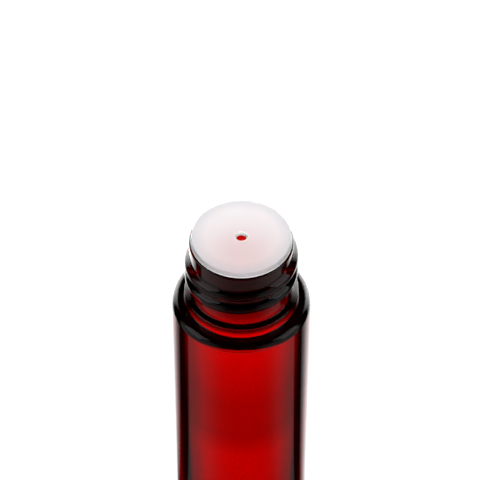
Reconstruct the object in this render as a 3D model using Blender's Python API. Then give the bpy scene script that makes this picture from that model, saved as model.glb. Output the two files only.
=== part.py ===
"""Body oil bottle with its cap off: a blow-moulded PET bottle with a 28 mm screw neck,
the orifice reducer that is pressed into the neck, and the oil.

Metres, +Z up. The origin is the centre of the foot, on the plane that the bottle stands on.
Depths are measured down from the lip of the neck.
"""

import math

import bmesh
import bpy
from mathutils import Vector

# Facets
SEGMENTS = 60
ARC_STEPS = 5
EDGE_STEPS = 3
WELD_DISTANCE = 0.000002
SHARP_ANGLE_DEGREES = 35.0

# Bottle: body and foot
LIP_HEIGHT = 0.1220
BODY_DIAMETER = 0.0334
BODY_WALL = 0.0010
BASE_WALL = 0.0013
HEEL_RADIUS = 0.0030
FOOT_RING_WIDTH = 0.0018
PUSH_UP_HEIGHT = 0.0024

# Bottle: shoulder, which the cap's skirt comes down to
SHOULDER_DEPTH = 0.0192
SHOULDER_RADIUS = 0.0019
SHOULDER_WALL = 0.0012

# Bottle: neck, bored straight through
BORE_DIAMETER = 0.0216
NECK_WALL = 0.00155
LIP_RADIUS = 0.0004
BORE_FLARE_RADIUS = 0.0016

# Bottle: collar between the thread and the shoulder
COLLAR_STEP = 0.00125
COLLAR_HEIGHT = 0.0040
COLLAR_EDGE_RADIUS = 0.0011

# Bottle: thread, six turns to the inch, with a round crest
THREAD_HEIGHT = 0.00115
THREAD_WIDTH = 0.0034
THREAD_PITCH = 0.00423
THREAD_FIRST_DEPTH = 0.0040
THREAD_SINK_SHARE = 0.4
THREAD_START_DEGREES = 62.0
THREAD_TURNS = 1.80
THREAD_RUN_OUT_TURNS = 0.10
THREAD_SECTION_STEPS = 6

# Orifice reducer: flange and plate
REDUCER_SEAT_GAP = 0.0003
FLANGE_SETBACK = 0.0005
FLANGE_THICKNESS = 0.0012
FLANGE_EDGE_RADIUS = 0.0003
ORIFICE_DIAMETER = 0.0024
ORIFICE_PLATE_THICKNESS = 0.0008

# Orifice reducer: skirt and its sealing ribs
SKIRT_LENGTH = 0.0063
SKIRT_WALL = 0.0010
SKIRT_LEAD_IN = 0.0008
RIB_CLEARANCE = 0.0001
RIB_HEIGHT = 0.0003
RIB_WIDTH = 0.0009
RIB_COUNT = 3

# Oil
OIL_HEADSPACE = 0.0067
OIL_WALL_GAP = 0.0003

# Radii and heights that the pieces share
BODY_RADIUS = BODY_DIAMETER / 2
BORE_RADIUS = BORE_DIAMETER / 2
NECK_RADIUS = BORE_RADIUS + NECK_WALL
COLLAR_RADIUS = NECK_RADIUS + COLLAR_STEP
SHOULDER_HEIGHT = LIP_HEIGHT - SHOULDER_DEPTH
FOOT_OUTER_RADIUS = BODY_RADIUS - HEEL_RADIUS
FOOT_INNER_RADIUS = FOOT_OUTER_RADIUS - FOOT_RING_WIDTH
SEAT_HEIGHT = LIP_HEIGHT + REDUCER_SEAT_GAP
SKIRT_END_HEIGHT = SEAT_HEIGHT - SKIRT_LENGTH


def clear_scene():
    for obj in list(bpy.data.objects):
        bpy.data.objects.remove(obj, do_unlink=True)


def moulded(name, colour, roughness, transmission, ior):
    """A Principled material; nothing in this part is metal."""
    made = bpy.data.materials.new(name)
    made.use_nodes = True
    shader = made.node_tree.nodes["Principled BSDF"]
    shader.inputs["Base Color"].default_value = (*colour, 1.0)
    shader.inputs["Roughness"].default_value = roughness
    shader.inputs["Metallic"].default_value = 0.0
    shader.inputs["Transmission Weight"].default_value = transmission
    shader.inputs["IOR"].default_value = ior
    return made


def arc(centre, radius, start, end, steps=ARC_STEPS):
    """Points of a round corner in the (radius, height) plane, angles in degrees."""
    points = []
    for step in range(steps + 1):
        angle = math.radians(start + (end - start) * step / steps)
        across = centre[0] + radius * math.cos(angle)
        up = centre[1] + radius * math.sin(angle)
        points.append((across, up))
    return points


def dome(rim_radius, rim_height, rise):
    """Points of a shallow dome from its rim to its top on the axis: a circle's arc."""
    ball = (rim_radius**2 + rise**2) / (2 * rise)
    points = []
    for step in range(ARC_STEPS + 1):
        across = rim_radius * (1 - step / ARC_STEPS)
        sag = ball - math.sqrt(ball**2 - across**2)
        points.append((across, rim_height + rise - sag))
    return points


def turned(name, outline, material, closed=False):
    """Spins an outline of (radius, height) points about Z into one solid."""
    form = bmesh.new()
    points = [form.verts.new((across, 0.0, up)) for across, up in outline]
    edges = [form.edges.new(pair) for pair in zip(points, points[1:])]
    if closed:
        edges.append(form.edges.new((points[-1], points[0])))
    bmesh.ops.spin(
        form,
        geom=points + edges,
        cent=Vector(),
        axis=Vector((0.0, 0.0, 1.0)),
        angle=math.tau,
        steps=SEGMENTS,
        use_merge=True,
    )
    bmesh.ops.remove_doubles(form, verts=form.verts, dist=WELD_DISTANCE)
    return finished(name, form, material)


def finished(name, form, material):
    """Makes the object of a closed form, smooth but for its real edges."""
    bmesh.ops.recalc_face_normals(form, faces=form.faces)
    mesh = bpy.data.meshes.new(name)
    form.to_mesh(mesh)
    form.free()
    mesh.shade_smooth()
    mesh.set_sharp_from_angle(angle=math.radians(SHARP_ANGLE_DEGREES))
    mesh.materials.append(material)
    made = bpy.data.objects.new(name, mesh)
    bpy.context.scene.collection.objects.link(made)
    return made


def bottle_outside():
    """The outer wall from the middle of the base to the lip."""
    collar_top = SHOULDER_HEIGHT + COLLAR_HEIGHT
    heel = (FOOT_OUTER_RADIUS, HEEL_RADIUS)
    shoulder = (BODY_RADIUS - SHOULDER_RADIUS, SHOULDER_HEIGHT - SHOULDER_RADIUS)
    collar = (COLLAR_RADIUS - COLLAR_EDGE_RADIUS, collar_top - COLLAR_EDGE_RADIUS)
    lip = (NECK_RADIUS - LIP_RADIUS, LIP_HEIGHT - LIP_RADIUS)
    return [
        *reversed(dome(FOOT_INNER_RADIUS, 0.0, PUSH_UP_HEIGHT)),
        *arc(heel, HEEL_RADIUS, -90, 0),
        *arc(shoulder, SHOULDER_RADIUS, 0, 90),
        (COLLAR_RADIUS, SHOULDER_HEIGHT),
        *arc(collar, COLLAR_EDGE_RADIUS, 0, 90),
        (NECK_RADIUS, collar_top),
        *arc(lip, LIP_RADIUS, 0, 90, EDGE_STEPS),
    ]


def bottle_inside(gap=0.0):
    """The inner wall from the foot of the bore to the middle of the base, drawn in by gap."""
    bore = BORE_RADIUS - gap
    body = BODY_RADIUS - BODY_WALL - gap
    ceiling = SHOULDER_HEIGHT - SHOULDER_WALL - gap
    floor = BASE_WALL + gap
    flare = (bore + BORE_FLARE_RADIUS, ceiling + BORE_FLARE_RADIUS)
    corner = max(SHOULDER_RADIUS, 2 * BODY_WALL) - BODY_WALL
    heel = max(HEEL_RADIUS, 2 * BODY_WALL) - BODY_WALL
    return [
        *arc(flare, BORE_FLARE_RADIUS, 180, 270, EDGE_STEPS),
        *arc((body - corner, ceiling - corner), corner, 90, 0, EDGE_STEPS),
        *arc((body - heel, floor + heel), heel, 0, -90),
        *dome(FOOT_INNER_RADIUS, floor, PUSH_UP_HEIGHT),
    ]


def thread_section(rise):
    """One cut across the thread: a half cosine whose foot is sunk in the neck's wall.

    rise runs from 0, where the crest lies under the neck's skin, to 1 at full height.
    """
    sink = NECK_WALL * THREAD_SINK_SHARE
    foot = NECK_RADIUS - sink
    reach = sink / 2 + (THREAD_HEIGHT + sink / 2) * rise
    section = []
    for step in range(THREAD_SECTION_STEPS + 1):
        across = 2 * step / THREAD_SECTION_STEPS - 1
        out = foot + reach * math.cos(math.pi / 2 * across)
        section.append((out, THREAD_WIDTH / 2 * across))
    return section


def make_thread(material):
    """The ridge of the thread, wound down the neck and run out into it at both ends."""
    steps = round(SEGMENTS * THREAD_TURNS)
    form = bmesh.new()
    rings = []
    for step in range(steps + 1):
        turn = THREAD_TURNS * step / steps
        height = LIP_HEIGHT - THREAD_FIRST_DEPTH - THREAD_PITCH * turn
        angle = math.radians(THREAD_START_DEGREES) - math.tau * turn
        share = min(1.0, min(turn, THREAD_TURNS - turn) / THREAD_RUN_OUT_TURNS)
        ring = []
        for out, up in thread_section(share * share * (3 - 2 * share)):
            place = (out * math.cos(angle), out * math.sin(angle), height + up)
            ring.append(form.verts.new(place))
        rings.append(ring)
    for first, second in zip(rings, rings[1:]):
        for corner in range(len(first)):
            after = (corner + 1) % len(first)
            form.faces.new((first[corner], first[after], second[after], second[corner]))
    form.faces.new(rings[0])
    form.faces.new(rings[-1])
    made = finished("thread_ridge", form, material)
    made.hide_render = True
    made.display_type = "WIRE"
    return made


def make_bottle():
    """The bottle is one moulding: the turned shell with the thread joined to its neck."""
    material = moulded("red_pet", (0.52, 0.004, 0.006), 0.04, 0.9, 1.57)
    mouth = (BORE_RADIUS + LIP_RADIUS, LIP_HEIGHT - LIP_RADIUS)
    outline = [
        *bottle_outside(),
        *arc(mouth, LIP_RADIUS, 90, 180, EDGE_STEPS),
        *bottle_inside(),
    ]
    made = turned("bottle", outline, material)
    union = made.modifiers.new("thread", "BOOLEAN")
    union.operation = "UNION"
    union.object = make_thread(material)
    return made


def skirt_ribs(skirt, top, bottom):
    """Half-round sealing ribs, spread evenly down the outside of the skirt."""
    points = []
    for rib in range(RIB_COUNT):
        middle = top + (bottom - top) * (rib + 1) / (RIB_COUNT + 1)
        for step in range(ARC_STEPS):
            angle = math.pi * step / (ARC_STEPS - 1)
            bulge = skirt + RIB_HEIGHT * math.sin(angle)
            points.append((bulge, middle + RIB_WIDTH / 2 * math.cos(angle)))
    return points


def make_reducer():
    """A moulded plug: a flange on the lip, a thin plate with the orifice, a ribbed skirt."""
    material = moulded("natural_ldpe", (0.86, 0.82, 0.82), 0.35, 0.2, 1.51)
    edge = FLANGE_EDGE_RADIUS
    orifice = ORIFICE_DIAMETER / 2
    flange = NECK_RADIUS - FLANGE_SETBACK
    skirt = BORE_RADIUS - RIB_CLEARANCE - RIB_HEIGHT
    hollow = skirt - SKIRT_WALL
    top = SEAT_HEIGHT + FLANGE_THICKNESS
    plate = top - ORIFICE_PLATE_THICKNESS
    lead_in = SKIRT_END_HEIGHT + SKIRT_LEAD_IN
    outline = [
        (orifice, plate),
        (orifice, top),
        *arc((flange - edge, top - edge), edge, 90, 0, EDGE_STEPS),
        *arc((flange - edge, SEAT_HEIGHT + edge), edge, 0, -90, EDGE_STEPS),
        (skirt, SEAT_HEIGHT),
        *skirt_ribs(skirt, SEAT_HEIGHT, lead_in),
        (skirt, lead_in),
        (skirt - SKIRT_WALL / 2, SKIRT_END_HEIGHT),
        (hollow, SKIRT_END_HEIGHT),
        (hollow, plate),
    ]
    return turned("orifice_reducer", outline, material, closed=True)


def make_oil():
    """The oil fills the bottle to a level in the neck, a headspace below the reducer."""
    material = moulded("oil", (0.93, 0.72, 0.42), 0.0, 1.0, 1.47)
    level = SKIRT_END_HEIGHT - OIL_HEADSPACE
    outline = [
        (0.0, level),
        (BORE_RADIUS - OIL_WALL_GAP, level),
        *bottle_inside(OIL_WALL_GAP),
    ]
    return turned("oil", outline, material)


clear_scene()
make_bottle()
make_reducer()
make_oil()
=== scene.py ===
import math

import bpy
import numpy as np
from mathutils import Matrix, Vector


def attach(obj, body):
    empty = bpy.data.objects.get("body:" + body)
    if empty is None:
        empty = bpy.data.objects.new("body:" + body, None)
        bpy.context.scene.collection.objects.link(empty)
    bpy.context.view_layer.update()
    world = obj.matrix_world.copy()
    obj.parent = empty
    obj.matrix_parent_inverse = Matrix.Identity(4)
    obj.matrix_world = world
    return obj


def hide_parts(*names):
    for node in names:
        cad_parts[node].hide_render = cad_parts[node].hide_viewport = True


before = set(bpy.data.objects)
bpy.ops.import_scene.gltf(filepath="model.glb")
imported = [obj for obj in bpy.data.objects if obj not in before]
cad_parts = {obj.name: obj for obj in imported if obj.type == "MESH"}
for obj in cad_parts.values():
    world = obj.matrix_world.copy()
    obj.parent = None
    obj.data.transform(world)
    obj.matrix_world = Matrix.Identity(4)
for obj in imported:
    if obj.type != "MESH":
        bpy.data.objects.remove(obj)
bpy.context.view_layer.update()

# Bottle
# The bottle is one shell of PET, dyed red right through. Its neck, with the collar and the
# thread, is injection moulded on the preform; the body is then blown out against the mould,
# which leaves it thinner and glossy inside and out.
LIP_HEIGHT = 0.1220
BODY_RADIUS = 0.0167
BODY_WALL = 0.0010
BASE_WALL = 0.0013
HEEL_RADIUS = 0.0030
FOOT_RING_WIDTH = 0.0018
PUSH_UP_HEIGHT = 0.0024
FOOT_BLEND = 0.0004
GATE_MARK_RADIUS = 0.0016
GATE_MARK_HEIGHT = 0.0003

SHOULDER_HEIGHT = LIP_HEIGHT - 0.0192
SHOULDER_RADIUS = 0.0021
SHOULDER_WALL = 0.0012
BORE_RADIUS = 0.0108
BORE_RING_DEPTH = 0.0115
BORE_FLARE_RADIUS = 0.0016
NECK_RADIUS = BORE_RADIUS + 0.00155
LIP_RADIUS = 0.0005
COLLAR_RADIUS = NECK_RADIUS + 0.00125
COLLAR_HEIGHT = 0.0035
COLLAR_SLOPE_DROP = 0.00065
COLLAR_EDGE_RADIUS = 0.00025
FILLET_RADIUS = 0.0003

THREAD_HEIGHT = 0.00115
THREAD_WIDTH = 0.0040
THREAD_PITCH = 0.00423
THREAD_FIRST_DEPTH = 0.0042
THREAD_SINK = 0.4 * (NECK_RADIUS - BORE_RADIUS)
THREAD_START = math.radians(62.0)
THREAD_TURNS = 1.80
THREAD_RUN_OUT_TURNS = 0.10
THREAD_BLEND = 0.00020
THREAD_FULLNESS = 2.5

BOTTLE_SEGMENTS = 320
CORNER_STEPS = 8
CORNER_LAND = 0.00004
DOME_STEPS = 20
NECK_ROW = 0.00012
SHARP_ANGLE = math.radians(35.0)

FOOT_OUTER_RADIUS = BODY_RADIUS - HEEL_RADIUS
FOOT_INNER_RADIUS = FOOT_OUTER_RADIUS - FOOT_RING_WIDTH
COLLAR_TOP = SHOULDER_HEIGHT + COLLAR_HEIGHT
CEILING = SHOULDER_HEIGHT - SHOULDER_WALL
BODY_BORE = BODY_RADIUS - BODY_WALL


def larger(first, second, blend):
    """Smooth maximum: the larger of two, with a round join as wide as blend where they cross."""
    share = np.clip(0.5 + 0.5 * (first - second) / blend, 0.0, 1.0)
    return second + (first - second) * share + blend * share * (1.0 - share)


def rounded(corners):
    """Outline of straight runs joined by circle arcs, from rows of (across, up, arc radius).

    At a corner that turns by t, the arc starts its radius times tan(t/2) before the corner.
    Its points are the centre plus the radius turned evenly through t. A short straight land
    before and after each arc keeps the flats beside it flat when shaded smooth.
    """
    corners = np.array(corners, float)
    place, radius = corners[:, :2], corners[1:-1, 2]
    run = np.diff(place, axis=0)
    run /= np.linalg.norm(run, axis=1)[:, None]
    before, after = run[:-1], run[1:]
    crossed = before[:, 0] * after[:, 1] - before[:, 1] * after[:, 0]
    turn = np.arctan2(crossed, (before * after).sum(1))
    start = place[1:-1] - before * (radius * np.tan(np.abs(turn) / 2))[:, None]
    inward = np.stack([-before[:, 1], before[:, 0]], 1) * np.sign(turn)[:, None]
    centre = start + inward * radius[:, None]
    angle = turn[:, None] * np.linspace(0.0, 1.0, CORNER_STEPS + 1)
    cosine, sine = np.cos(angle), np.sin(angle)
    spoke = -inward * radius[:, None]
    across = centre[:, :1] + spoke[:, :1] * cosine - spoke[:, 1:] * sine
    up = centre[:, 1:] + spoke[:, :1] * sine + spoke[:, 1:] * cosine
    arcs = np.stack([across, up], 2)
    first = arcs[:, :1] - before[:, None] * CORNER_LAND
    last = arcs[:, -1:] + after[:, None] * CORNER_LAND
    middle = np.concatenate([first, arcs, last], 1).reshape(-1, 2)
    return np.vstack([place[:1], middle, place[-1:]])


def footed(radii, wall):
    """Height of the base at each radius: a shallow dome, highest on the axis, that levels
    out in the foot ring. The dome falls with the square of the radius."""
    risen = PUSH_UP_HEIGHT * (1.0 - (radii / FOOT_INNER_RADIUS) ** 2)
    return wall + larger(risen, np.zeros_like(radii), FOOT_BLEND)


def turned_skin(name, across, up, segments, looped=False):
    """A closed skin of rings about Z: point (i, j) lies across[i, j] from the axis at the
    angle of column j, and up[i] high. Rings of no radius are single points on the axis, and
    a looped outline joins its last ring to its first."""
    across = np.asarray(across, float).reshape(len(up), -1)
    across = np.broadcast_to(across, (len(up), segments))
    angle = np.arange(segments) * (2 * np.pi / segments)
    grid = np.stack(
        [across * np.cos(angle), across * np.sin(angle), np.repeat(up[:, None], segments, 1)], 2
    )
    points = grid.reshape(-1, 3)
    ring = np.arange(len(points)).reshape(len(up), segments)
    if not looped:
        points = np.vstack([grid[0, :1], grid[1:-1].reshape(-1, 3), grid[-1, :1]])
        ring = np.arange((len(up) - 2) * segments).reshape(-1, segments) + 1
    below = ring if looped else ring[:-1]
    above = np.roll(ring, -1, axis=0) if looped else ring[1:]
    quads = np.stack([below, np.roll(below, -1, 1), np.roll(above, -1, 1), above], 2)
    faces = quads.reshape(-1, 4).tolist()
    if not looped:
        last = np.full(segments, len(points) - 1)
        foot = np.stack([np.zeros(segments, int), np.roll(ring[0], -1), ring[0]], 1)
        head = np.stack([ring[-1], np.roll(ring[-1], -1), last], 1)
        faces += foot.tolist() + head.tolist()
    mesh = bpy.data.meshes.new(name)
    mesh.from_pydata(points.tolist(), [], faces)
    mesh.shade_smooth()
    mesh.set_sharp_from_angle(angle=SHARP_ANGLE)
    made = bpy.data.objects.new(name, mesh)
    bpy.context.scene.collection.objects.link(made)
    return made


def threaded(angle, height):
    """Radius of the neck at an angle and a height, with the thread wound on it.

    The crest falls by the pitch in each turn, clockwise seen from above. A cut across it
    falls off by the 2.5th power of the distance from the crest, to a foot sunk in the wall;
    at both ends it shrinks below the skin. The radius is the smooth maximum of the plain
    neck and each turn that passes here.
    """
    turn = (THREAD_START - angle[None, None, :]) / (2 * np.pi) % 1.0
    turn = turn + np.arange(math.ceil(THREAD_TURNS))[:, None, None]
    crest = LIP_HEIGHT - THREAD_FIRST_DEPTH - THREAD_PITCH * turn
    share = np.clip(np.minimum(turn, THREAD_TURNS - turn) / THREAD_RUN_OUT_TURNS, 0.0, 1.0)
    rise = share**2 * (3.0 - 2.0 * share)
    reach = THREAD_SINK / 2 + (THREAD_HEIGHT + THREAD_SINK / 2) * rise
    aside = np.clip((height[None, :, None] - crest) / (THREAD_WIDTH / 2), -1.0, 1.0)
    ridge = NECK_RADIUS - THREAD_SINK + reach * (1.0 - np.abs(aside) ** THREAD_FULLNESS)
    return larger(ridge.max(0), np.full(ridge.shape[1:], NECK_RADIUS), THREAD_BLEND)


def bottle_inside(overlap=0.0):
    """Inner outline from a ring in the bore down to the middle of the base, moved out by
    overlap."""
    bore = BORE_RADIUS + overlap
    body = BODY_BORE + overlap
    ceiling = CEILING + overlap
    radii = np.linspace(FOOT_OUTER_RADIUS, 0.0, DOME_STEPS)
    base = np.stack([radii, footed(radii, BASE_WALL - overlap)], 1)
    walls = rounded([
        (bore, LIP_HEIGHT - BORE_RING_DEPTH, 0.0),
        (bore, ceiling, BORE_FLARE_RADIUS),
        (body, ceiling, SHOULDER_RADIUS - BODY_WALL),
        (body, BASE_WALL - overlap, HEEL_RADIUS - BODY_WALL),
        (*base[0], 0.0),
    ])
    return np.vstack([walls, base[1:]])


def make_bottle_wall():
    """Outer skin from the gate mark under the base up to the lip, then the inner skin. The
    gate mark is a half wave of the cosine, taken off the base."""
    radii = np.linspace(0.0, FOOT_OUTER_RADIUS, DOME_STEPS)
    under = footed(radii, 0.0)
    nub = 0.5 + 0.5 * np.cos(np.pi * np.clip(radii / GATE_MARK_RADIUS, 0.0, 1.0))
    base = np.stack([radii, under - GATE_MARK_HEIGHT * nub], 1)
    body = rounded([
        (*base[-1], 0.0),
        (BODY_RADIUS, 0.0, HEEL_RADIUS),
        (BODY_RADIUS, SHOULDER_HEIGHT, SHOULDER_RADIUS),
        (COLLAR_RADIUS, SHOULDER_HEIGHT, FILLET_RADIUS),
        (COLLAR_RADIUS, COLLAR_TOP - COLLAR_SLOPE_DROP, COLLAR_EDGE_RADIUS),
        (NECK_RADIUS, COLLAR_TOP, FILLET_RADIUS),
        (NECK_RADIUS, COLLAR_TOP + 2 * FILLET_RADIUS, 0.0),
    ])
    neck_low = COLLAR_TOP + 3 * FILLET_RADIUS
    neck_high = LIP_HEIGHT - 2 * LIP_RADIUS
    rows = np.linspace(neck_low, neck_high, round((neck_high - neck_low) / NECK_ROW))
    lip = rounded([
        (NECK_RADIUS, neck_high + LIP_RADIUS / 2, 0.0),
        (NECK_RADIUS, LIP_HEIGHT, LIP_RADIUS),
        (BORE_RADIUS, LIP_HEIGHT, LIP_RADIUS),
        (BORE_RADIUS, neck_high, 0.0),
    ])
    plain = np.vstack([base, body[1:], lip, bottle_inside()])
    split = len(base) + len(body) - 1
    angle = np.arange(BOTTLE_SEGMENTS) * (2 * np.pi / BOTTLE_SEGMENTS)
    across = np.repeat(plain[:, :1], BOTTLE_SEGMENTS, 1)
    across = np.vstack([across[:split], threaded(angle, rows), across[split:]])
    up = np.concatenate([plain[:split, 1], rows, plain[split:, 1]])
    return turned_skin("bottle_wall", across, up, BOTTLE_SEGMENTS)


def linear(hex_colour):
    """An sRGB hex colour as linear RGBA: c/12.92 when small, else ((c + .055)/1.055)^2.4."""
    channels = np.array([int(hex_colour[i : i + 2], 16) for i in (1, 3, 5)]) / 255
    bright = ((channels + 0.055) / 1.055) ** 2.4
    return (*np.where(channels <= 0.04045, channels / 12.92, bright).tolist(), 1.0)


def add_node(tree, kind, sockets=None, **settings):
    """Adds a node, sets its properties, and fills or links its inputs by name or place."""
    made = tree.nodes.new(kind)
    for name, value in settings.items():
        setattr(made, name, value)
    for name, value in (sockets or {}).items():
        if isinstance(value, bpy.types.NodeSocket):
            tree.links.new(value, made.inputs[name])
        else:
            made.inputs[name].default_value = value
    return made


def new_material(name):
    """An empty material with its output node: (material, tree, output)."""
    made = bpy.data.materials.new(name)
    made.use_nodes = True
    made.node_tree.nodes.clear()
    return made, made.node_tree, made.node_tree.nodes.new("ShaderNodeOutputMaterial")


# PET, blown and moulded, dyed in the mass. Clear and glossy, with the faint long swell that
# blowing leaves and a little handling haze. The dye takes out green and blue within a wall.
PET_IOR = 1.575
PET_TINT = "#F62E26"
PET_TINT_DEEP = "#EC241E"
PET_DYE = "#F87A70"
PET_DYE_DENSITY = 1300.0
PET_SWELL_SIZE = 0.009
PET_SWELL_HEIGHT = 0.000012
PET_HAZE_SIZE = 0.0035
PET_HAZE_SPREAD = (0.35, 0.75)
PET_ROUGHNESS = (0.015, 0.045)


def blown_pet():
    made, tree, out = new_material("blown_pet_red")
    place = add_node(tree, "ShaderNodeTexCoord").outputs["Object"]
    swell = add_node(tree, "ShaderNodeTexNoise", {
        "Vector": place, "Scale": 1 / PET_SWELL_SIZE, "Detail": 1.0, "Roughness": 0.4})
    haze = add_node(tree, "ShaderNodeTexNoise", {
        "Vector": place, "Scale": 1 / PET_HAZE_SIZE, "Detail": 4.0, "Roughness": 0.6})
    tint = add_node(tree, "ShaderNodeMix", {
        "Factor": swell.outputs["Fac"], "A": linear(PET_TINT), "B": linear(PET_TINT_DEEP)},
        data_type="RGBA")
    rough = add_node(tree, "ShaderNodeMapRange", {
        "Value": haze.outputs["Fac"],
        "From Min": PET_HAZE_SPREAD[0], "From Max": PET_HAZE_SPREAD[1],
        "To Min": PET_ROUGHNESS[0], "To Max": PET_ROUGHNESS[1]})
    bump = add_node(tree, "ShaderNodeBump", {
        "Height": swell.outputs["Fac"], "Distance": PET_SWELL_HEIGHT, "Strength": 1.0})
    shader = add_node(tree, "ShaderNodeBsdfPrincipled", {
        "Base Color": tint.outputs["Result"],
        "Roughness": rough.outputs["Result"], "Normal": bump.outputs["Normal"],
        "IOR": PET_IOR, "Transmission Weight": 1.0})
    dye = add_node(tree, "ShaderNodeVolumeAbsorption", {
        "Color": linear(PET_DYE), "Density": PET_DYE_DENSITY})
    tree.links.new(shader.outputs["BSDF"], out.inputs["Surface"])
    tree.links.new(dye.outputs["Volume"], out.inputs["Volume"])
    return made


bottle_wall = make_bottle_wall()
bottle_wall.data.materials.append(blown_pet())
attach(bottle_wall, "bottle")
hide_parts("bottle")

# Oil
# The oil is clear and faintly golden. It wets the wall, so its skin runs just inside the
# plastic, and it climbs a little where its surface meets the bore.
OIL_LEVEL = 0.1093
OIL_OVERLAP = 0.00003
OIL_SEGMENTS = 256
MENISCUS_RISE = 0.0004
MENISCUS_REACH = 0.0007
LEVEL_STEPS = 24


def make_oil():
    """Surface from the axis out to the wall, then down the wall to the middle of the base.
    The surface rises by an exponential of the distance from the wall."""
    edge = BORE_RADIUS + OIL_OVERLAP
    radii = edge * np.sin(np.linspace(0.0, np.pi / 2, LEVEL_STEPS))
    level = OIL_LEVEL + MENISCUS_RISE * np.exp((radii - edge) / MENISCUS_REACH)
    top = np.stack([radii, level], 1)
    side = bottle_inside(OIL_OVERLAP)[1:]
    outline = np.vstack([top, side])[::-1]
    return turned_skin("oil_fill", outline[:, 0], outline[:, 1], OIL_SEGMENTS)


# Cosmetic oil: clear, and a pale gold in depth, which warms the red behind it a little.
OIL_IOR = 1.47
OIL_TINT = "#FFFDF6"
OIL_TINT_DEEP = "#FFF8E8"
OIL_GOLD = "#FFF2C8"
OIL_GOLD_DENSITY = 6.0
OIL_CLOUD_SIZE = 1 / 60


def clear_oil():
    made, tree, out = new_material("clear_body_oil")
    place = add_node(tree, "ShaderNodeTexCoord").outputs["Object"]
    cloud = add_node(tree, "ShaderNodeTexNoise", {
        "Vector": place, "Scale": 1 / OIL_CLOUD_SIZE, "Detail": 1.0})
    tint = add_node(tree, "ShaderNodeMix", {
        "Factor": cloud.outputs["Fac"], "A": linear(OIL_TINT), "B": linear(OIL_TINT_DEEP)},
        data_type="RGBA")
    shader = add_node(tree, "ShaderNodeBsdfPrincipled", {
        "Base Color": tint.outputs["Result"],
        "Roughness": 0.0, "IOR": OIL_IOR, "Transmission Weight": 1.0})
    depth = add_node(tree, "ShaderNodeVolumeAbsorption", {
        "Color": linear(OIL_GOLD), "Density": OIL_GOLD_DENSITY})
    tree.links.new(shader.outputs["BSDF"], out.inputs["Surface"])
    tree.links.new(depth.outputs["Volume"], out.inputs["Volume"])
    return made


oil_fill = make_oil()
oil_fill.data.materials.append(clear_oil())
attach(oil_fill, "bottle")
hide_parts("oil")

# Orifice reducer
# The reducer is a soft plug of natural polyethylene, injection moulded. Its flange lies on
# the lip, a plate with one small hole closes the bore, and three round ribs on the skirt
# hold it in the neck.
REDUCER_TOP = 0.1235
FLANGE_RADIUS = NECK_RADIUS - 0.00060
FLANGE_BOTTOM = LIP_HEIGHT + 0.00002
FLANGE_TOP_EDGE = 0.00025
FLANGE_LOW_EDGE = 0.00005
FLANGE_FOOT_RADIUS = NECK_RADIUS - 0.00040
FLANGE_FOOT_HEIGHT = 0.00033
FLANGE_FOOT_EDGE = 0.00013
ORIFICE_RADIUS = 0.0012
ORIFICE_MOUTH_RADIUS = 0.00148
ORIFICE_MOUTH_DEPTH = 0.0008
ORIFICE_EDGE = 0.00012
PLATE_THICKNESS = 0.0012
SKIRT_RADIUS = BORE_RADIUS - 0.0004
SKIRT_WALL = 0.0010
SKIRT_LAND = 0.0003
SKIRT_EDGE = 0.0001
SKIRT_END = LIP_HEIGHT - 0.0060
SKIRT_LEAD_IN = 0.0008
HOLLOW_FILLET = 0.0004
RIB_HEIGHT = 0.0003
RIB_WIDTH = 0.0009
RIB_COUNT = 3
RIB_ROWS = 60
REDUCER_SEGMENTS = 224


def make_reducer():
    """Closed loop: hole, plate, flange, the ribbed skirt, and its hollow. The ribs are half
    cosines spread evenly down the skirt."""
    hollow = SKIRT_RADIUS - SKIRT_WALL
    lead_in = SKIRT_END + SKIRT_LEAD_IN
    plate = REDUCER_TOP - PLATE_THICKNESS
    outside = rounded([
        (ORIFICE_RADIUS, plate + ORIFICE_EDGE, 0.0),
        (ORIFICE_RADIUS, REDUCER_TOP - ORIFICE_MOUTH_DEPTH, ORIFICE_EDGE),
        (ORIFICE_MOUTH_RADIUS, REDUCER_TOP, ORIFICE_EDGE),
        (FLANGE_RADIUS, REDUCER_TOP, FLANGE_TOP_EDGE),
        (FLANGE_RADIUS, FLANGE_BOTTOM + FLANGE_FOOT_HEIGHT, FLANGE_LOW_EDGE),
        (FLANGE_FOOT_RADIUS, FLANGE_BOTTOM + FLANGE_FOOT_EDGE, FLANGE_LOW_EDGE),
        (FLANGE_FOOT_RADIUS, FLANGE_BOTTOM, FLANGE_LOW_EDGE / 2),
        (SKIRT_RADIUS, FLANGE_BOTTOM, SKIRT_EDGE),
        (SKIRT_RADIUS, FLANGE_BOTTOM - SKIRT_LAND, 0.0),
    ])
    rows = np.linspace(
        FLANGE_BOTTOM - SKIRT_LAND - SKIRT_EDGE, lead_in + 2 * SKIRT_EDGE, RIB_ROWS)
    spread = np.arange(1, RIB_COUNT + 1)[:, None] / (RIB_COUNT + 1)
    middles = FLANGE_BOTTOM + (lead_in - FLANGE_BOTTOM) * spread
    aside = np.clip((rows - middles) / (RIB_WIDTH / 2), -1.0, 1.0)
    ribs = SKIRT_RADIUS + RIB_HEIGHT * np.cos(np.pi / 2 * aside).max(0)
    inside = rounded([
        (SKIRT_RADIUS, lead_in + SKIRT_EDGE, 0.0),
        (SKIRT_RADIUS, lead_in, SKIRT_EDGE),
        (SKIRT_RADIUS - SKIRT_WALL / 2, SKIRT_END, SKIRT_EDGE),
        (hollow, SKIRT_END, SKIRT_EDGE),
        (hollow, plate, HOLLOW_FILLET),
        (ORIFICE_RADIUS + ORIFICE_EDGE, plate, 0.0),
    ])
    outline = np.vstack([outside, np.stack([ribs, rows], 1), inside])[::-1]
    return turned_skin(
        "reducer_plug", outline[:, 0], outline[:, 1], REDUCER_SEGMENTS, looped=True)


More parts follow.
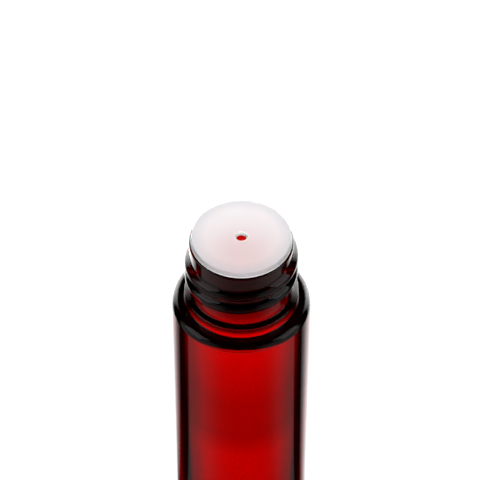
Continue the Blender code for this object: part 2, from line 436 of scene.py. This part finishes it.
# Natural LDPE, injection moulded in a satin mould: milky and translucent. A red glow is painted
# into the plate's colour towards its near side, painted light for the red of the neck shining
# through; the flange, which lies on the lip, is painted greyer, a painted shade; and the hole's
# wall and the flange's foot are painted clean white, a painted glow. A faint cloudiness, a fine
# satin grain and a soft wide sheen.
LDPE_IOR = 1.51
LDPE_COLOUR = "#F0EBEC"
LDPE_CLOUD = "#ECE4E6"
LDPE_PAINTED_RED_GLOW = "#E8D1D2"
LDPE_PAINTED_RIM_SHADE = "#EAEFF1"
LDPE_PAINTED_EDGE_GLOW = "#FFFCFB"
LDPE_CLOUD_SIZE = 0.0045
LDPE_CLOUD_SPREAD = (0.3, 0.7)
LDPE_ROUGHNESS = (0.34, 0.42)
LDPE_GRAIN_SIZE = 0.00025
LDPE_GRAIN_HEIGHT = 0.000004
LDPE_DEPTH = 0.0010
LDPE_DEPTH_BY_COLOUR = (1.0, 0.85, 0.8)
LDPE_MILK = 0.8
LDPE_MILK_AT_EDGE_GLOW = 0.1
PAINTED_GLOW_CENTRE = (0.0, -0.0055, REDUCER_TOP)
PAINTED_GLOW_RADIUS = 0.0135

# By the distance from the middle of the top: where the painted rim shade starts, and how far
# the painted white glow reaches, which is full at the hole's wall and at the flange's foot.
TOP_MIDDLE = (0.0, 0.0, REDUCER_TOP)
PAINTED_RIM_SHADE_START = 0.0085
PAINTED_EDGE_GLOW_REACH = 0.0130
PAINTED_EDGE_GLOW_STOPS = [(ORIFICE_MOUTH_RADIUS, 1.0), (ORIFICE_MOUTH_RADIUS + 0.0002, 0.0),
              (0.01186, 0.0), (0.01192, 1.0)]


def by_stops(tree, value, low, high, stops):
    """Looks a value from low to high up in straight runs between (value, strength) stops."""
    share = add_node(tree, "ShaderNodeMapRange", {
        "Value": value, "From Min": low, "From Max": high})
    band = add_node(tree, "ShaderNodeValToRGB", {"Fac": share.outputs["Result"]})
    marks = band.color_ramp.elements
    marks.remove(marks[1])
    marks[0].position = (stops[0][0] - low) / (high - low)
    marks[0].color = (stops[0][1],) * 3 + (1.0,)
    for at, strength in stops[1:]:
        marks.new((at - low) / (high - low)).color = (strength,) * 3 + (1.0,)
    return band.outputs["Color"]


def natural_ldpe():
    made, tree, out = new_material("natural_ldpe_satin")
    place = add_node(tree, "ShaderNodeTexCoord").outputs["Object"]
    cloud = add_node(tree, "ShaderNodeTexNoise", {
        "Vector": place, "Scale": 1 / LDPE_CLOUD_SIZE, "Detail": 2.0, "Roughness": 0.5})
    grain = add_node(tree, "ShaderNodeTexNoise", {
        "Vector": place, "Scale": 1 / LDPE_GRAIN_SIZE, "Detail": 2.0, "Roughness": 0.6})
    plate = add_node(tree, "ShaderNodeMix", {
        "Factor": cloud.outputs["Fac"], "A": linear(LDPE_COLOUR), "B": linear(LDPE_CLOUD)},
        data_type="RGBA")
    # Painted light: a red glow painted into the plate's colour, centred towards its near side,
    # for the red of the neck shining up through it.
    from_painted_glow = add_node(
        tree, "ShaderNodeVectorMath", {0: place, 1: PAINTED_GLOW_CENTRE}, operation="DISTANCE")
    glow = add_node(tree, "ShaderNodeMapRange", {
        "Value": from_painted_glow.outputs["Value"], "From Min": 0.0, "From Max": PAINTED_GLOW_RADIUS,
        "To Min": 1.0, "To Max": 0.0}, interpolation_type="SMOOTHSTEP")
    painted_glowing = add_node(tree, "ShaderNodeMix", {
        "Factor": glow.outputs["Result"], "A": plate.outputs["Result"],
        "B": linear(LDPE_PAINTED_RED_GLOW)}, data_type="RGBA")
    # Painted shade: from the rim start out to the flange's edge the colour is multiplied greyer.
    from_middle = add_node(
        tree, "ShaderNodeVectorMath", {0: place, 1: TOP_MIDDLE}, operation="DISTANCE")
    painted_rim_shade_share = add_node(tree, "ShaderNodeMapRange", {
        "Value": from_middle.outputs["Value"],
        "From Min": PAINTED_RIM_SHADE_START, "From Max": FLANGE_RADIUS})
    painted_rim_shade = add_node(tree, "ShaderNodeMix", {
        "Factor": painted_rim_shade_share.outputs["Result"], "A": painted_glowing.outputs["Result"],
        "B": linear(LDPE_PAINTED_RIM_SHADE)}, data_type="RGBA", blend_type="MULTIPLY")
    # Painted glow: the hole's wall and the flange's foot are painted clean white, and their
    # subsurface weight is lowered there, so they read brighter than the plate.
    painted_edge_glow = by_stops(tree, from_middle.outputs["Value"], 0.0, PAINTED_EDGE_GLOW_REACH, PAINTED_EDGE_GLOW_STOPS)
    tint = add_node(tree, "ShaderNodeMix", {
        "Factor": painted_edge_glow, "A": painted_rim_shade.outputs["Result"], "B": linear(LDPE_PAINTED_EDGE_GLOW)},
        data_type="RGBA")
    rough = add_node(tree, "ShaderNodeMapRange", {
        "Value": cloud.outputs["Fac"],
        "From Min": LDPE_CLOUD_SPREAD[0], "From Max": LDPE_CLOUD_SPREAD[1],
        "To Min": LDPE_ROUGHNESS[0], "To Max": LDPE_ROUGHNESS[1]})
    milk = add_node(tree, "ShaderNodeMapRange", {
        "Value": painted_edge_glow, "To Min": LDPE_MILK, "To Max": LDPE_MILK_AT_EDGE_GLOW})
    bump = add_node(tree, "ShaderNodeBump", {
        "Height": grain.outputs["Fac"], "Distance": LDPE_GRAIN_HEIGHT, "Strength": 1.0})
    shader = add_node(tree, "ShaderNodeBsdfPrincipled", {
        "Base Color": tint.outputs["Result"],
        "Roughness": rough.outputs["Result"], "Normal": bump.outputs["Normal"],
        "IOR": LDPE_IOR, "Subsurface Weight": milk.outputs["Result"],
        "Subsurface Radius": LDPE_DEPTH_BY_COLOUR, "Subsurface Scale": LDPE_DEPTH})
    tree.links.new(shader.outputs["BSDF"], out.inputs["Surface"])
    return made


reducer_plug = make_reducer()
reducer_plug.data.materials.append(natural_ldpe())
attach(reducer_plug, "reducer")
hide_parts("orifice_reducer")

# Studio
# A pale table that runs on to a white surround. The bottle stands at its middle and throws a
# soft shadow on it. Gloss mirrors bright patches painted on the table and the surround behind
# the bottle and dim ones at its sides, painted reflections that only gloss meets, and a matt
# surface gathers a plain dim level from all round.
FLOOR_HALF = 3.0
FLOOR_COLOUR = "#9C9C9C"
AMBIENT = 0.10

# What gloss mirrors, against the cosine of the bearing from straight back: on the table near
# by, at middle distance and far off. The two reaches are where one pattern passes into the
# next.
MIRRORED_CENTRE = (0.010, 0.0, 0.0)
MIRRORED = [(-0.95, 0.0), (-0.80, 0.025), (-0.60, 0.09), (-0.40, 0.145), (-0.20, 0.165),
            (0.01, 0.16), (0.07, 0.0), (0.40, 0.0), (0.58, 0.45), (0.70, 0.90), (0.85, 1.25)]
EDGE_REACH = (0.109, 0.114)
EDGE_MIRRORED = [(-0.95, 0.11), (-0.60, 0.20), (-0.20, 0.24), (0.03, 0.25), (0.12, 0.0),
                 (0.38, 0.0), (0.50, 0.9), (0.68, 2.1), (0.76, 2.3), (0.90, 3.0)]
FAR_REACH = (0.130, 0.160)
FAR_MIRRORED = [(-0.92, 0.015), (-0.80, 0.15), (-0.60, 0.20), (-0.20, 0.24), (0.03, 0.25),
                (0.12, 0.0), (0.46, 0.0), (0.50, 0.5), (0.574, 1.6), (0.68, 3.6), (0.72, 4.4)]
FAR_TURNED = math.radians(3.0)

# What is seen straight through the glass: behind the bottle, a strength by bearing times one
# by distance from the axis. It is painted light and shade that only glass meets: dark bands at
# each side, nothing under the bottle's foot and a painted shadow of the bottle near it, two
# dark painted bands near 90 and 97 mm from the axis and brighter painted bands past them. In
# front of the bottle, past a painted shadow under its foot, and further off it is white. Rays
# that glass turned back inside a wall meet a painted dim level.
BACK_WALL = (0.0, BODY_RADIUS, 0.0)
THROUGH = [(-0.20, 0.0), (-0.05, 0.90), (0.05, 0.80), (0.12, 0.50), (0.20, 0.14), (0.31, 0.02),
           (0.48, 0.015), (0.53, 0.10), (0.585, 0.34), (0.73, 0.55), (0.83, 0.83), (0.965, 1.0)]
OUTWARDS_REACH = 0.12
# Painted shade by distance: nothing under the foot, a painted shadow near it, and dark painted
# bands at 90.5-93.2 and 96-98.4 mm.
OUTWARDS = [(0.016, 0.0), (0.022, 0.80), (0.047, 1.10), (0.054, 0.70), (0.0655, 0.72),
            (0.073, 0.92), (0.0845, 1.20), (0.0895, 1.0), (0.0905, 0.10), (0.0932, 0.10),
            (0.0941, 0.82), (0.0951, 0.62), (0.0960, 0.36), (0.0984, 0.28), (0.0990, 1.0),
            (0.1036, 1.4), (0.1082, 1.25), (0.1090, 1.5), (0.1136, 2.0), (0.1140, 1.9),
            (0.1146, 0.72), (0.118, 0.72)]
BEFORE = [(-0.20, 1.0), (-0.05, 0.0)]
# Painted shadow under the bottle's foot, as glass sees the table in front of it.
BEFORE_OUTWARDS = [(0.016, 0.0), (0.035, 1.0)]
WHITE_REACH = (0.118, 0.125)
TURNED_BACK = 0.02

# The table's own glow for the camera, by distance: its near part keeps the shadow.
GLOW_REACH = (0.10, 0.30)
GLOW_STRENGTH = (0.74, 1.0)


def by_bearing(tree, place, centre, stops, turned=0.0):
    """Looks up stops by the cosine of the bearing of a place from straight back, seen from
    centre: the level unit vector from centre to the place, along the way that is turned to
    the right of straight back."""
    moved = add_node(tree, "ShaderNodeVectorMath", {0: place, 1: centre}, operation="SUBTRACT")
    level = add_node(tree, "ShaderNodeVectorMath", {
        0: moved.outputs[0], 1: (1.0, 1.0, 0.0)}, operation="MULTIPLY")
    unit = add_node(tree, "ShaderNodeVectorMath", {0: level.outputs[0]}, operation="NORMALIZE")
    back = (math.sin(turned), math.cos(turned), 0.0)
    cosine = add_node(
        tree, "ShaderNodeVectorMath", {0: unit.outputs[0], 1: back}, operation="DOT_PRODUCT")
    return by_stops(tree, cosine.outputs["Value"], -1.0, 1.0, stops)


def by_ray(tree, path, mirrored, through, gathered):
    """Strength that a ray meets: mirrored in gloss, seen through glass, a painted dim level if
    glass turned it back on its way, or gathered by a matt surface."""
    straight = add_node(tree, "ShaderNodeMapRange", {
        "Value": path["Glossy Depth"], "To Min": through, "To Max": TURNED_BACK})
    clear = add_node(tree, "ShaderNodeMapRange", {
        "Value": path["Is Transmission Ray"],
        "To Min": mirrored, "To Max": straight.outputs["Result"]})
    met = add_node(tree, "ShaderNodeMapRange", {
        "Value": path["Diffuse Depth"],
        "To Min": clear.outputs["Result"], "To Max": gathered})
    return met.outputs["Result"]


def studio_floor():
    """The table. Its far part glows to white for the camera, and its near part keeps the
    shadow. Gloss and glass meet the patterns above, and it throws no light on matt pieces."""
    made, tree, out = new_material("pale_table")
    place = add_node(tree, "ShaderNodeTexCoord").outputs["Object"]
    path = add_node(tree, "ShaderNodeLightPath").outputs
    distance = add_node(
        tree, "ShaderNodeVectorMath", {0: place}, operation="LENGTH").outputs["Value"]
    behind = add_node(tree, "ShaderNodeMath", {
        0: by_bearing(tree, place, BACK_WALL, THROUGH),
        1: by_stops(tree, distance, 0.0, OUTWARDS_REACH, OUTWARDS)}, operation="MULTIPLY")
    near_through = add_node(tree, "ShaderNodeMath", {
        0: by_bearing(tree, place, BACK_WALL, BEFORE),
        1: by_stops(tree, distance, 0.0, OUTWARDS_REACH, BEFORE_OUTWARDS),
        2: behind.outputs[0]}, operation="MULTIPLY_ADD")
    through = add_node(tree, "ShaderNodeMapRange", {
        "Value": distance, "From Min": WHITE_REACH[0], "From Max": WHITE_REACH[1],
        "To Min": near_through.outputs[0], "To Max": 1.0})
    middle = (0.0, 0.0, 0.0)
    edge_mirrored = add_node(tree, "ShaderNodeMapRange", {
        "Value": distance, "From Min": FAR_REACH[0], "From Max": FAR_REACH[1],
        "To Min": by_bearing(tree, place, middle, EDGE_MIRRORED),
        "To Max": by_bearing(tree, place, middle, FAR_MIRRORED, FAR_TURNED)})
    mirrored = add_node(tree, "ShaderNodeMapRange", {
        "Value": distance, "From Min": EDGE_REACH[0], "From Max": EDGE_REACH[1],
        "To Min": by_bearing(tree, place, MIRRORED_CENTRE, MIRRORED),
        "To Max": edge_mirrored.outputs["Result"]})
    seen = add_node(tree, "ShaderNodeEmission", {"Strength": by_ray(
        tree, path, mirrored.outputs["Result"], through.outputs["Result"], 0.0)})
    glow = add_node(tree, "ShaderNodeMapRange", {
        "Value": distance, "From Min": GLOW_REACH[0], "From Max": GLOW_REACH[1],
        "To Min": GLOW_STRENGTH[0], "To Max": GLOW_STRENGTH[1]})
    matt = add_node(tree, "ShaderNodeBsdfDiffuse", {"Color": linear(FLOOR_COLOUR)})
    own = add_node(tree, "ShaderNodeEmission", {"Strength": glow.outputs["Result"]})
    table = add_node(tree, "ShaderNodeAddShader", {0: matt.outputs[0], 1: own.outputs[0]})
    shown = add_node(tree, "ShaderNodeMixShader", {
        0: path["Is Camera Ray"], 1: seen.outputs[0], 2: table.outputs[0]})
    tree.links.new(shown.outputs["Shader"], out.inputs["Surface"])
    return made


floor_mesh = bpy.data.meshes.new("table_top")
corners = FLOOR_HALF * np.array([(-1, -1, 0), (1, -1, 0), (1, 1, 0), (-1, 1, 0)], float)
floor_mesh.from_pydata(corners.tolist(), [], [(0, 1, 2, 3)])
table_top = bpy.data.objects.new("table_top", floor_mesh)
bpy.context.scene.collection.objects.link(table_top)
floor_mesh.materials.append(studio_floor())

# The surround past the table, by the sine of the height over the horizon: seen through glass
# it is white low down and dark overhead, and the far mirrored pattern goes on up to a height.
HORIZON_REACH = (0.10, 0.45)
OVERHEAD = 0.015
FAR_PATTERN_REACH = (0.34, 0.64)


def studio_world():
    """White where the camera looks past the table, and the surround for all other rays."""
    world = bpy.data.worlds.new("studio")
    bpy.context.scene.world = world
    world.use_nodes = True
    tree = world.node_tree
    tree.nodes.clear()
    out = tree.nodes.new("ShaderNodeOutputWorld")
    way = add_node(tree, "ShaderNodeTexCoord").outputs["Generated"]
    path = add_node(tree, "ShaderNodeLightPath").outputs
    rise = add_node(tree, "ShaderNodeSeparateXYZ", {"Vector": way}).outputs["Z"]
    up_to = add_node(tree, "ShaderNodeMapRange", {
        "Value": rise, "From Min": FAR_PATTERN_REACH[0], "From Max": FAR_PATTERN_REACH[1],
        "To Min": 1.0, "To Max": 0.0})
    mirrored = add_node(tree, "ShaderNodeMath", {
        0: by_bearing(tree, way, (0.0, 0.0, 0.0), FAR_MIRRORED, FAR_TURNED),
        1: up_to.outputs["Result"]}, operation="MULTIPLY")
    through = add_node(tree, "ShaderNodeMapRange", {
        "Value": rise, "From Min": HORIZON_REACH[0], "From Max": HORIZON_REACH[1],
        "To Min": 1.0, "To Max": OVERHEAD})
    met = by_ray(tree, path, mirrored.outputs[0], through.outputs["Result"], AMBIENT)
    total = add_node(
        tree, "ShaderNodeMath", {0: met, 1: path["Is Camera Ray"]}, operation="MAXIMUM")
    sky = add_node(tree, "ShaderNodeBackground", {
        "Color": (1.0, 1.0, 1.0, 1.0), "Strength": total.outputs[0]})
    tree.links.new(sky.outputs["Background"], out.inputs["Surface"])


studio_world()

# Softboxes: name, place, width and height in metres, power in watts, and whether it mirrors.
# All face the middle of the reducer's top.
SOFTBOXES = [
    ("back_softbox", (0.0, 0.14, 0.20), 0.12, 0.06, 0.31, False),
    ("front_softbox", (0.0, -0.48, 0.27), 0.50, 0.20, 2.2, False),
    ("left_softbox", (-0.45, -0.12, 0.36), 0.27, 0.46, 0.195, True),
    ("right_softbox", (0.45, -0.12, 0.36), 0.27, 0.46, 0.195, True),
]


def softbox(name, place, width, height, power, mirrored):
    """An area lamp that is never seen itself, and mirrors only if asked."""
    data = bpy.data.lights.new(name, "AREA")
    data.shape, data.size, data.size_y, data.energy = "RECTANGLE", width, height, power
    lamp = bpy.data.objects.new(name, data)
    bpy.context.scene.collection.objects.link(lamp)
    lamp.location = place
    lamp.rotation_mode = "QUATERNION"
    lamp.rotation_quaternion = (Vector(TOP_MIDDLE) - Vector(place)).to_track_quat("-Z", "Y")
    lamp.visible_camera = False
    lamp.visible_transmission = False
    lamp.visible_glossy = mirrored


for row in SOFTBOXES:
    softbox(*row)

# Camera
# It looks down on the bottle by 47 degrees from 0.55 m, through a long lens, and stands a
# little aside and down so that the bottle lies where it does in the frame.
PITCH = math.radians(47.02)
CAMERA_DISTANCE = 0.552
LENS = 177.2
SENSOR_WIDTH = 36.0
CLIP_REACH = (0.05, 20.0)
ASIDE = -0.00033
DOWN = -0.00093
forward = Vector((0.0, math.cos(PITCH), -math.sin(PITCH)))
upward = Vector((0.0, math.sin(PITCH), math.cos(PITCH)))
camera_data = bpy.data.cameras.new("camera")
camera_data.lens, camera_data.sensor_width = LENS, SENSOR_WIDTH
camera_data.clip_start, camera_data.clip_end = CLIP_REACH
camera = bpy.data.objects.new("camera", camera_data)
bpy.context.scene.collection.objects.link(camera)
moved = Vector((ASIDE, 0.0, 0.0)) + upward * DOWN
camera.location = Vector(TOP_MIDDLE) - forward * CAMERA_DISTANCE + moved
camera.rotation_mode = "QUATERNION"
camera.rotation_quaternion = forward.to_track_quat("-Z", "Y")
bpy.context.scene.camera = camera
bpy.context.scene.view_settings.view_transform = "Standard"
